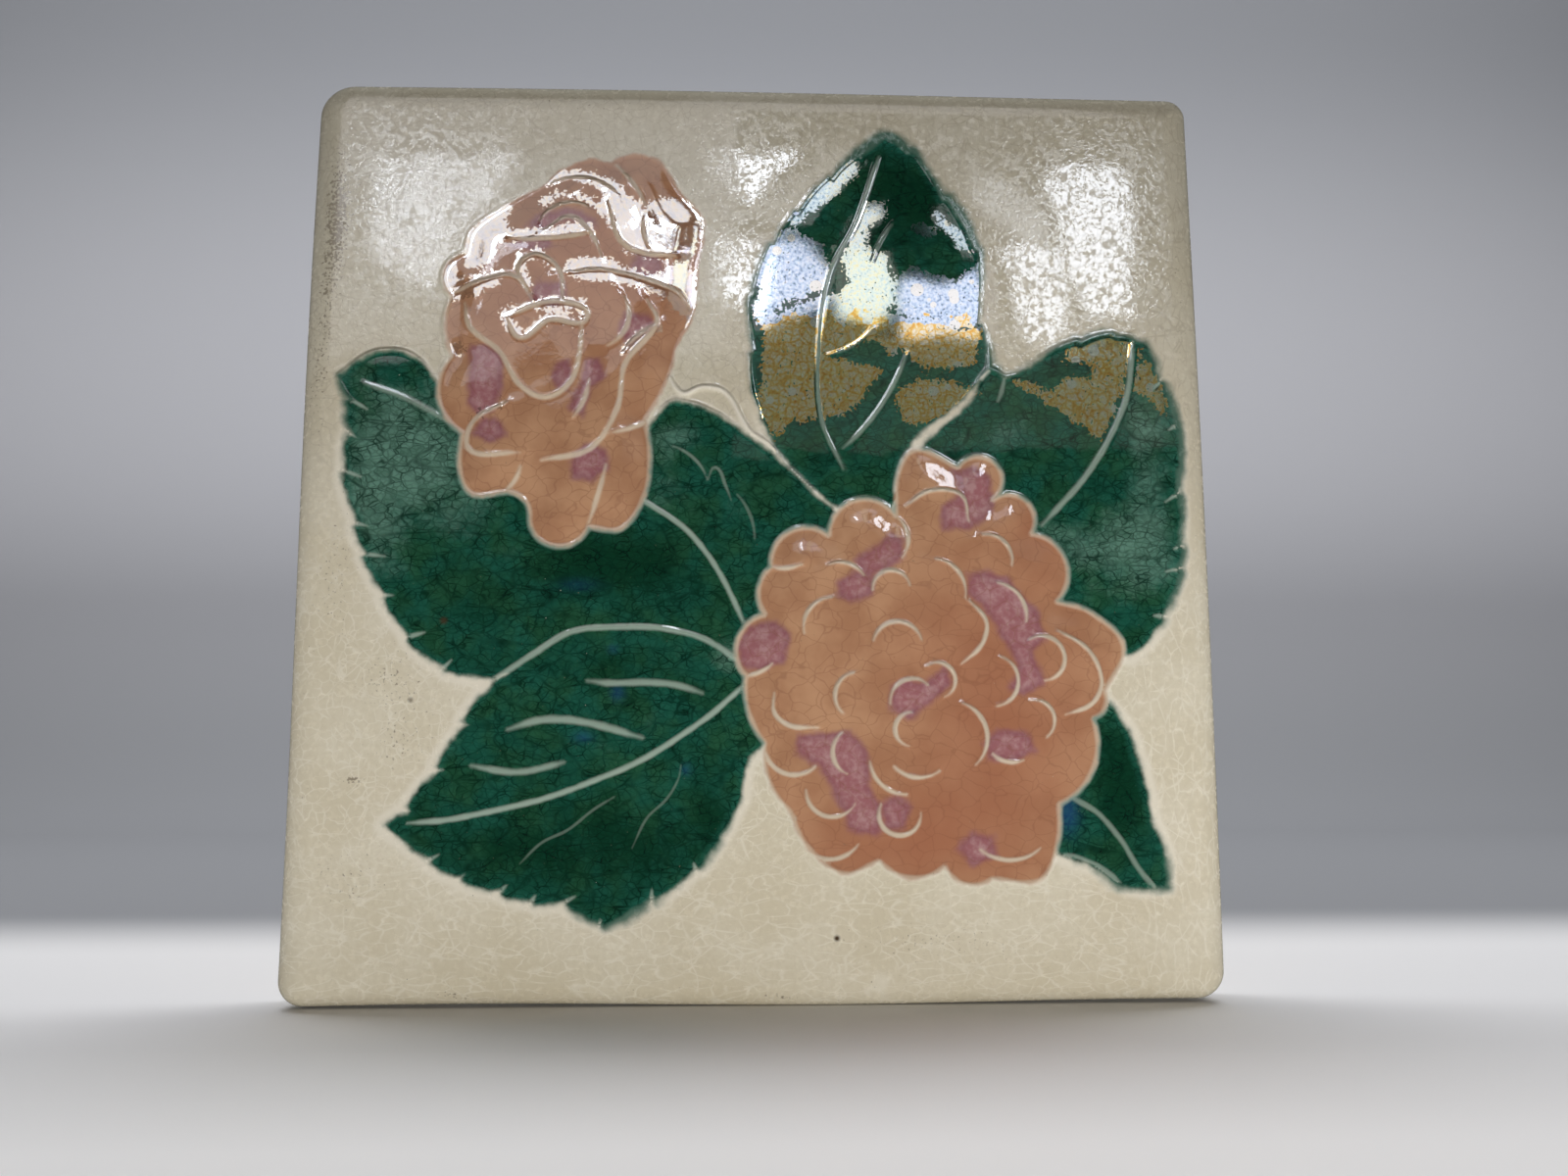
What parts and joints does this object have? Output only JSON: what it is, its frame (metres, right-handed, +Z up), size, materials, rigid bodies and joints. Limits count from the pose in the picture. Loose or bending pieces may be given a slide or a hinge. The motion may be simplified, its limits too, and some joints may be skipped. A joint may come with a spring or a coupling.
{
  "type": "floral ceramic wall tile",
  "caption": "Square glazed earthenware wall tile with rolled edges and moulded blossoms and toothed leaves in low relief.",
  "frame": {"origin": "middle of the flat back face, where the tile is bedded on the wall", "axes": "+X across the tile to the right as seen from the front, +Z up, +Y out of the back into the wall, so the glazed face looks along -Y"},
  "size_m": [0.1526, 0.0118, 0.1555],
  "materials": {
    "glazed_earthenware": "crazed gloss glaze in cream, green, orange and mauve over cream earthenware, with a bare biscuit back"
  },
  "bodies": {
    "root": {"tile": "glazed_earthenware"}
  },
  "joints": []
}
